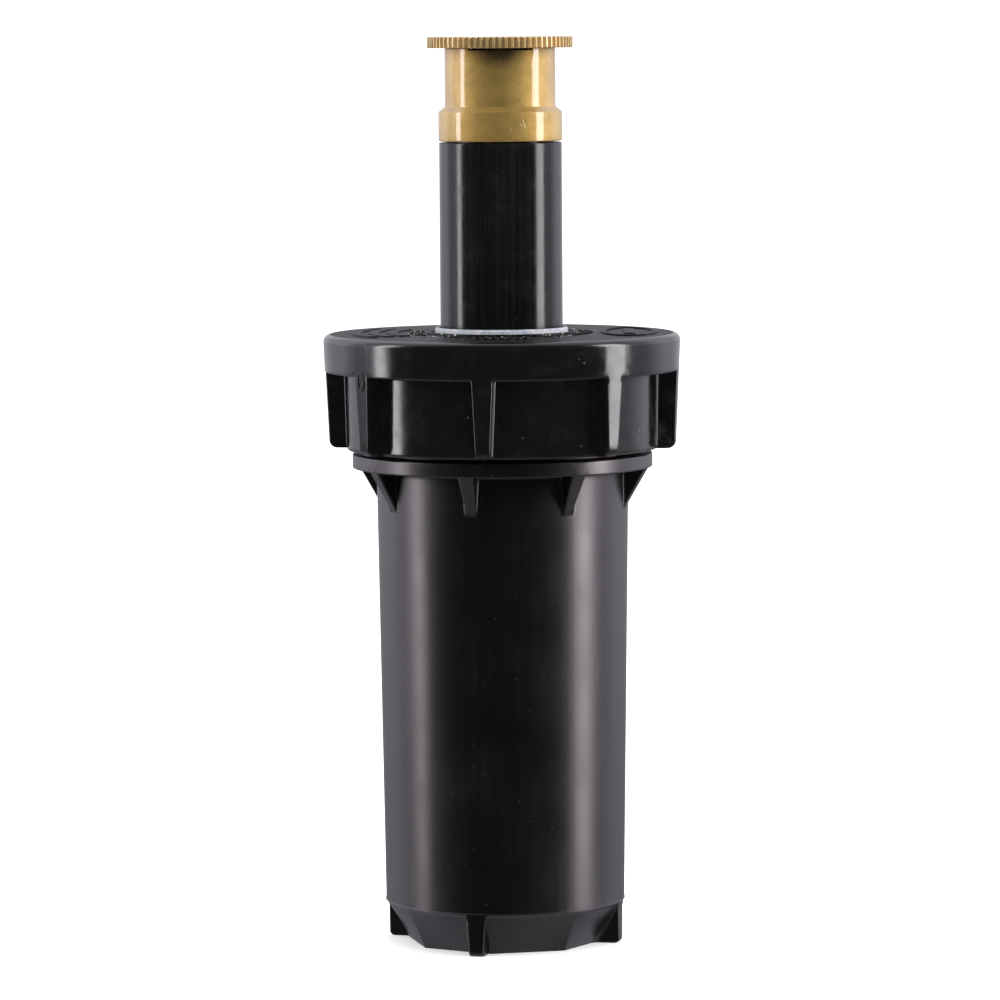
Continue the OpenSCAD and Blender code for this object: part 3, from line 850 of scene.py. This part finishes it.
def position(tree):
    """Object position in millimetres: x, y, height and distance from the axis."""
    where = node(tree, "ShaderNodeTexCoord")
    parts = node(tree, "ShaderNodeSeparateXYZ")
    link(tree, where.outputs["Object"], parts.inputs["Vector"])
    x, y, z = (times(tree, parts.outputs[axis], MM_PER_M) for axis in "XYZ")
    square = plus(tree, times(tree, x, x), times(tree, y, y))
    return x, y, z, math_node(tree, "POWER", square, 0.5)


def gloss_skin(name, wave_depth):
    """Polished moulded plastic: slightly wavy, finely scuffed, with dust specks."""
    material, tree, shader = new_material(name)
    flat = coords(tree)
    tall = coords(tree, (1, 1, 0.08))
    wave = noise(tree, flat, 0.09, 2)
    grain = noise(tree, flat, 5.0, 3)
    streak = noise(tree, tall, 1.9, 4)
    haze = noise(tree, flat, 0.35, 4, 0.65)
    rough = remap(tree, haze, 0.35, 0.75, 0.11, 0.24)
    shade = remap(tree, haze, 0.5, 0.8, 0, 0.5)
    bumps(tree, shader, [(wave, 0.3, wave_depth), (streak, 0.05, 0.02), (grain, 0.08, 0.01)])
    return material, tree, shader, flat, rough, shade


def riser_black():
    """Polished riser with fine lengthwise drag marks."""
    material, tree, shader, flat, rough, shade = gloss_skin("riser_black", 0.12)
    dust = specks(tree, flat, 0.45, 0.09, 0.25)
    tall = coords(tree, (1, 1, 0.01))
    drag = remap(tree, noise(tree, tall, 1.6, 4, 0.7), 0.42, 0.62, 0, 0.5)
    link(tree, rough, shader.inputs["Roughness"])
    mark = plus(tree, shade, dust, drag)
    base = colour_mix(tree, mark, (0.0029, 0.0027, 0.0030), (0.0105, 0.0102, 0.0108))
    link(tree, base, shader.inputs["Base Color"])
    shader.inputs["Specular IOR Level"].default_value = 0.29
    return material


def cap_black():
    """Polished cap: scuffs low on its windows and sparse bright specks."""
    material, tree, shader, flat, rough, shade = gloss_skin("cap_black", 0.14)
    x, y, z, _ = position(tree)
    sparse = times(tree, specks(tree, flat, 0.33, 0.075, 0.5), 0.8)
    cloud = noise(tree, flat, 0.28, 6, 0.75)
    low = remap(tree, z, BAND_Z - 2, SKIRT_Z + 5, 0, 1)
    side = times(tree, remap(tree, x, 14, 20, 0, 1), remap(tree, y, -24, -12, 0, 1))
    scuff = times(tree, low, remap(tree, cloud, 0.5, 0.62, 0, 1), side, 0.28)
    mark = plus(tree, times(tree, shade, 0.15), sparse, scuff)
    base = colour_mix(tree, mark, (0.0040, 0.0037, 0.0043), (0.055, 0.054, 0.055))
    link(tree, base, shader.inputs["Base Color"])
    shader.inputs["Specular IOR Level"].default_value = 0.44
    link(tree, plus(tree, rough, times(tree, scuff, 0.2)), shader.inputs["Roughness"])
    return material


def cap_stipple():
    """Dull stippled flat of the cap, with pale grit caught round the riser."""
    material, tree, shader = new_material("cap_stipple")
    flat = coords(tree)
    r = position(tree)[3]
    stipple = noise(tree, flat, 2.4, 4, 0.7)
    cloud = noise(tree, flat, 0.3, 5, 0.7)
    near = remap(tree, r, 15.5, 18.0, 1, 0)
    grit = times(tree, near, specks(tree, flat, 1.9, 0.3, 0.3))
    loose = times(tree, specks(tree, flat, 0.6, 0.07, 0.15), 0.4)
    dust = remap(tree, cloud, 0.45, 0.7, 0, 0.03)
    mark = plus(tree, grit, loose, dust)
    base = colour_mix(tree, mark, (0.0025, 0.0025, 0.0030), (0.56, 0.56, 0.53))
    link(tree, base, shader.inputs["Base Color"])
    link(tree, remap(tree, stipple, 0.3, 0.7, 0.35, 0.6), shader.inputs["Roughness"])
    shader.inputs["Specular IOR Level"].default_value = 0.12
    bumps(tree, shader, [(stipple, 0.5, 0.08)])
    return material


def satin_black():
    """Moulded body plastic with a fine satin skin, faint drag marks, pale scuffs and dust."""
    material, tree, shader = new_material("satin_black")
    flat = coords(tree)
    tall = coords(tree, (1, 1, 0.05))
    skin = noise(tree, flat, 3.2, 5, 0.6)
    drag = noise(tree, tall, 1.3, 5, 0.65)
    patch = noise(tree, flat, 0.07, 5, 0.6)
    link(tree, remap(tree, patch, 0.3, 0.7, 0.31, 0.38), shader.inputs["Roughness"])
    shader.inputs["Specular IOR Level"].default_value = 0.86
    shader.inputs["Specular Tint"].default_value = (1.0, 0.94, 0.97, 1)
    scuff = remap(tree, times(tree, patch, drag), 0.26, 0.42, 0, 0.12)
    mark = plus(tree, scuff, specks(tree, flat, 0.55, 0.09, 0.35))
    base = colour_mix(tree, mark, (0.0002, 0.0001, 0.0002), (0.0200, 0.0165, 0.0185))
    link(tree, base, shader.inputs["Base Color"])
    bumps(tree, shader, [(skin, 0.12, 0.03), (drag, 0.12, 0.03)])
    return material


def brass(name, dark, light, front_shade_and_nicks):
    """Turned brass: tool rings, fine pits, a thin bright skin; on request, painted shade under the slot and
    nicks on the collar.
    """
    material, tree, shader = new_material(name)
    flat = coords(tree)
    rings = coords(tree, (0.05, 0.05, 1))
    turn = noise(tree, rings, 6.0, 3)
    blotch = noise(tree, flat, 0.2, 5, 0.65)
    fleck = noise(tree, flat, 3.4, 4, 0.7)
    pits = plus(tree, specks(tree, flat, 2.2, 0.22, 0.09), specks(tree, flat, 0.9, 0.08, 0.15))
    shader.inputs["Metallic"].default_value = 0.87
    mottle = plus(tree, times(tree, fleck, 0.6), times(tree, turn, 0.4))
    link(tree, remap(tree, mottle, 0.4, 0.6, 0.58, 0.74), shader.inputs["Roughness"])
    shader.inputs["Coat Weight"].default_value = 1.0
    shader.inputs["Coat Roughness"].default_value = 0.1
    tone = plus(tree, times(tree, blotch, 0.5), times(tree, mottle, 0.5))
    tone = remap(tree, tone, 0.36, 0.62, 0, 1)
    tone = math_node(tree, "SUBTRACT", tone, times(tree, pits, 0.8))
    metal = colour_mix(tree, tone, dark, light)
    metal = cover_colour(tree, metal, times(tree, pits, 0.6), (0.06, 0.04, 0.018))
    if front_shade_and_nicks:
        # painted shade: dark colour below the spray slot, where the disc shades the neck
        metal = cover_colour(tree, metal, slot_painted_shade(tree, fleck, blotch), (0.07, 0.045, 0.018))
        metal = cover_colour(tree, metal, collar_nicks(tree), (0.90, 0.76, 0.48))
    link(tree, metal, shader.inputs["Base Color"])
    height = math_node(tree, "SUBTRACT", fleck, pits)
    bumps(tree, shader, [(turn, 0.45, 0.03), (height, 0.32, 0.04)])
    return material


def slot_painted_shade(tree, fleck, blotch):
    """Mask of painted shade: a dark mottled patch on the front, right below the spray slot and the disc."""
    x, y, z, _ = position(tree)
    across = remap(tree, math_node(tree, "ABSOLUTE", plus(tree, x, 0.4), 0), 1.5, 6.5, 1, 0)
    upper = remap(tree, z, DISC_Z - 5.0, DISC_Z - 0.6, 0, 1)
    front = remap(tree, y, -8.0, -4.0, 1, 0)
    cover = times(tree, across, upper, front)
    grain = plus(tree, times(tree, fleck, 0.7), times(tree, blotch, 0.5))
    return remap(tree, plus(tree, cover, grain), 0.85, 1.5, 0, 1)


def collar_nicks(tree):
    """Mask of two short bright scratches and a speck on the front of the collar."""
    x, y, z, _ = position(tree)
    # place across and above the collar's foot, lean, half length and half width, in millimetres
    nicks = [(3.95, 3.0, 0.3, 0.75, 0.045), (3.5, 2.8, 0.7, 0.35, 0.035), (1.7, 2.1, 0.0, 0.09, 0.09)]
    masks = []
    for across, up, lean, half, width in nicks:
        rise = math_node(tree, "SUBTRACT", z, COLLAR_Z + up)
        drift = times(tree, rise, -lean)
        aside = math_node(tree, "SUBTRACT", math_node(tree, "SUBTRACT", x, across), drift)
        thin = remap(tree, math_node(tree, "ABSOLUTE", aside, 0), width, width * 1.6, 1, 0)
        short = math_node(tree, "LESS_THAN", math_node(tree, "ABSOLUTE", rise, 0), half)
        masks.append(times(tree, thin, short))
    front = math_node(tree, "LESS_THAN", y, 0.0)
    return times(tree, plus(tree, *masks), front)


def elastomer():
    """Pale grey wiper rubber, dusty towards its edge."""
    material, tree, shader = new_material("grey_elastomer")
    flat = coords(tree)
    dust = noise(tree, flat, 1.2, 4)
    fine = noise(tree, flat, 6.0, 3)
    shade = remap(tree, dust, 0.35, 0.7, 0, 1)
    base = colour_mix(tree, shade, (0.28, 0.30, 0.35), (0.49, 0.50, 0.54))
    link(tree, base, shader.inputs["Base Color"])
    link(tree, remap(tree, dust, 0.3, 0.7, 0.5, 0.7), shader.inputs["Roughness"])
    bumps(tree, shader, [(fine, 0.2, 0.03)])
    return material


def simple_plastic(name, dark, light, rough_lo, rough_hi):
    """Moulded inner plastic or rubber with a faint grain."""
    material, tree, shader = new_material(name)
    flat = coords(tree)
    cloud = noise(tree, flat, 0.4, 4)
    fine = noise(tree, flat, 4.0, 3)
    shade = remap(tree, cloud, 0.35, 0.65, 0, 1)
    link(tree, colour_mix(tree, shade, dark, light), shader.inputs["Base Color"])
    link(tree, remap(tree, cloud, 0.3, 0.7, rough_lo, rough_hi), shader.inputs["Roughness"])
    bumps(tree, shader, [(fine, 0.15, 0.02)])
    return material


def steel():
    """Bright drawn steel with fine lengthwise marks."""
    material, tree, shader = new_material("stainless_steel")
    flat = coords(tree)
    fine = noise(tree, flat, 5.0, 4)
    cloud = noise(tree, flat, 0.6, 3)
    shader.inputs["Metallic"].default_value = 1.0
    shade = remap(tree, cloud, 0.3, 0.7, 0, 1)
    base = colour_mix(tree, shade, (0.5, 0.51, 0.53), (0.66, 0.67, 0.68))
    link(tree, base, shader.inputs["Base Color"])
    link(tree, remap(tree, fine, 0.3, 0.7, 0.22, 0.38), shader.inputs["Roughness"])
    bumps(tree, shader, [(fine, 0.12, 0.02)])
    return material


def dress_nodes(materials):
    """Give every CAD node that stays its finish, by its slot in the record."""
    slots = {s["node"]: s["material_slot"] for s in frame["record"]["subparts"]}
    for name, obj in frame["nodes"].items():
        obj.data.materials.clear()
        obj.data.materials.append(materials[slots[name]])


# ------------------------------------------------------------------------- studio and camera
# what gloss sees round the object: 0 is the camera's side, 0.5 is square to it, 1 is behind
FRONT = [(0.0, 0.014), (0.2, 0.018), (0.33, 0.03), (0.42, 0.0)]
LEFT = [
    (0.25, 0.0), (0.33, 0.05), (0.43, 0.3), (0.5, 0.85), (0.55, 0.98), (0.6, 0.82), (0.66, 0.58),
    (0.72, 0.88), (0.78, 1.0), (0.88, 0.58), (1.0, 0.4)]
RIGHT = [
    (0.25, 0.0), (0.32, 0.06), (0.4, 0.4), (0.5, 0.7), (0.64, 0.56), (0.72, 0.82), (0.82, 0.85),
    (0.9, 0.5), (1.0, 0.4)]
# the same from straight down, 0, to straight up, 1: the front falls off fast below the horizon
LOW_FRONT = [(0.3, 0.03), (0.43, 0.05), (0.455, 0.16), (0.482, 1.0), (1.0, 1.0)]
LOW_SIDES = [
    (0.0, 0.1), (0.15, 0.14), (0.32, 0.34), (0.43, 0.36), (0.455, 0.75), (0.49, 1.0), (1.0, 1.0)]
BELOW = [(0.0, 0.18), (0.16, 0.17), (0.27, 0.06), (0.34, 0.0)]
GLOSS_TINT = {"Red": 1.0, "Green": 0.965, "Blue": 1.07}
GLOSS_STRENGTH = 1.82
PLAIN_STRENGTH = 1.25
LIGHT_TINT = (1, 0.97, 1.0)
LIGHT_DISTANCE = 1.6
LIGHT_HEIGHT = 0.48
LIGHT_TALL = 1.6
FLOOR_HALF = 40


def build_floor():
    bm = bmesh.new()
    bmesh.ops.create_grid(bm, x_segments=2, y_segments=2, size=FLOOR_HALF)
    mesh = bpy.data.meshes.new("floor")
    bm.to_mesh(mesh)
    bm.free()
    floor = bpy.data.objects.new("floor", mesh)
    bpy.context.collection.objects.link(floor)
    material, tree, shader = new_material("pale_floor")
    shader.inputs["Base Color"].default_value = (0.97, 0.97, 0.97, 1)
    shader.inputs["Roughness"].default_value = 0.9
    shader.inputs["Emission Color"].default_value = (1, 1, 1, 1)
    shader.inputs["Emission Strength"].default_value = 0.2
    mesh.materials.append(material)
    floor.visible_glossy = False


def ramp_node(tree, value, stops):
    """Brightness ramp from (position, value) pairs."""
    made = node(tree, "ShaderNodeValToRGB")
    link(tree, value, made.inputs["Fac"])
    while len(made.color_ramp.elements) < len(stops):
        made.color_ramp.elements.new(0.5)
    for element, (at, level) in zip(made.color_ramp.elements, stops):
        element.position = at
        element.color = (level, level, level, 1)
    return made.outputs["Color"]


def build_world():
    """White all round to the camera and to matt surfaces; gloss sees a dark front and pale sides."""
    world = bpy.data.worlds.new("studio")
    bpy.context.scene.world = world
    world.use_nodes = True
    tree = world.node_tree
    tree.nodes.clear()
    out = node(tree, "ShaderNodeOutputWorld")
    path = node(tree, "ShaderNodeLightPath")
    where = node(tree, "ShaderNodeTexCoord")
    parts = node(tree, "ShaderNodeSeparateXYZ")
    link(tree, where.outputs["Generated"], parts.inputs["Vector"])
    depth = remap(tree, parts.outputs["Y"], -1, 1, 0, 1)
    height = remap(tree, parts.outputs["Z"], -1, 1, 0, 1)
    is_right = math_node(tree, "GREATER_THAN", parts.outputs["X"], 0.0)
    is_left = math_node(tree, "SUBTRACT", 1.0, is_right)
    left = times(tree, ramp_node(tree, depth, LEFT), is_left)
    right = times(tree, ramp_node(tree, depth, RIGHT), is_right)
    front = times(tree, ramp_node(tree, depth, FRONT), ramp_node(tree, height, LOW_FRONT))
    sides = times(tree, plus(tree, left, right), ramp_node(tree, height, LOW_SIDES))
    level = plus(tree, front, sides, ramp_node(tree, height, BELOW))
    tinted = node(tree, "ShaderNodeCombineColor")
    for channel, share in GLOSS_TINT.items():
        link(tree, times(tree, level, share), tinted.inputs[channel])
    gloss = node(tree, "ShaderNodeBackground", Strength=GLOSS_STRENGTH)
    link(tree, tinted.outputs["Color"], gloss.inputs["Color"])
    plain = node(tree, "ShaderNodeBackground", Color=(1, 1, 1, 1), Strength=PLAIN_STRENGTH)
    mix = node(tree, "ShaderNodeMixShader")
    link(tree, path.outputs["Is Glossy Ray"], mix.inputs["Fac"])
    link(tree, plain.outputs["Background"], mix.inputs[1])
    link(tree, gloss.outputs["Background"], mix.inputs[2])
    link(tree, mix.outputs["Shader"], out.inputs["Surface"])


def softbox(name, azimuth, wide, power):
    """Upright area light facing the object; azimuth is counted from the camera's side."""
    a = math.radians(azimuth)
    data = bpy.data.lights.new(name, "AREA")
    data.shape = "RECTANGLE"
    data.size, data.size_y = wide, LIGHT_TALL
    data.energy = power
    data.color = LIGHT_TINT
    light = bpy.data.objects.new(name, data)
    light.location = (LIGHT_DISTANCE * math.sin(a), -LIGHT_DISTANCE * math.cos(a), LIGHT_HEIGHT)
    aim = Vector((0, 0, 0.08)) - light.location
    light.rotation_euler = aim.to_track_quat("-Z", "Y").to_euler()
    light.visible_camera = False
    bpy.context.collection.objects.link(light)


def build_camera():
    """A long lens in front of the object, looking slightly down."""
    data = bpy.data.cameras.new("camera")
    data.sensor_width = 36
    data.lens = 201.5
    data.clip_start, data.clip_end = 0.05, 80
    camera = bpy.data.objects.new("camera", data)
    aside, back, height, aim_height = -0.00047, 0.940, 0.155, 0.07457
    lean = math.radians(-0.38)
    camera.location = (aside, -back, height)
    aim = Vector((aside, 0, aim_height)) - camera.location
    turn = aim.to_track_quat("-Z", "Y").to_matrix().to_4x4()
    camera.matrix_world = Matrix.Translation(camera.location) @ turn @ Matrix.Rotation(lean, 4, "Z")
    bpy.context.collection.objects.link(camera)
    bpy.context.scene.camera = camera


# ---------------------------------------------------------------------------------- the scene
black_cap = cap_black()
black_riser = riser_black()
black_satin = satin_black()
# True: the neck gets the painted shade below the spray slot and the nicks on the collar
turned_brass = brass("turned_brass", (0.36, 0.245, 0.072), (0.60, 0.408, 0.126), True)
knurled_brass = brass("knurled_brass", (0.54, 0.395, 0.18), (0.83, 0.62, 0.31), False)
grey_rubber = elastomer()
bright_steel = steel()
finishes = {
    "body_plastic": black_satin,
    "cap_plastic": black_cap,
    "riser_plastic": black_riser,
    "seal_elastomer": grey_rubber,
    "inner_plastic": simple_plastic(
        "inner_black", (0.02, 0.02, 0.022), (0.035, 0.035, 0.038), 0.4, 0.55),
    "black_rubber": simple_plastic(
        "black_rubber", (0.012, 0.012, 0.012), (0.02, 0.02, 0.02), 0.55, 0.7),
    "stainless": bright_steel,
    "acetal": simple_plastic(
        "natural_acetal", (0.62, 0.61, 0.56), (0.72, 0.71, 0.67), 0.35, 0.5),
    "brass": turned_brass,
}
dress_nodes(finishes)
build_body(black_satin)
build_cap(black_cap, cap_stipple())
build_seal(grey_rubber)
build_riser(black_riser)
build_nozzle(turned_brass)
build_disc(knurled_brass)
build_spring(bright_steel)
build_floor()
build_world()
softbox("left_strip", -84.5, 0.3, 14.5)
softbox("right_strip", 79, 0.5, 27)
build_camera()
bpy.context.scene.view_settings.view_transform = "Standard"
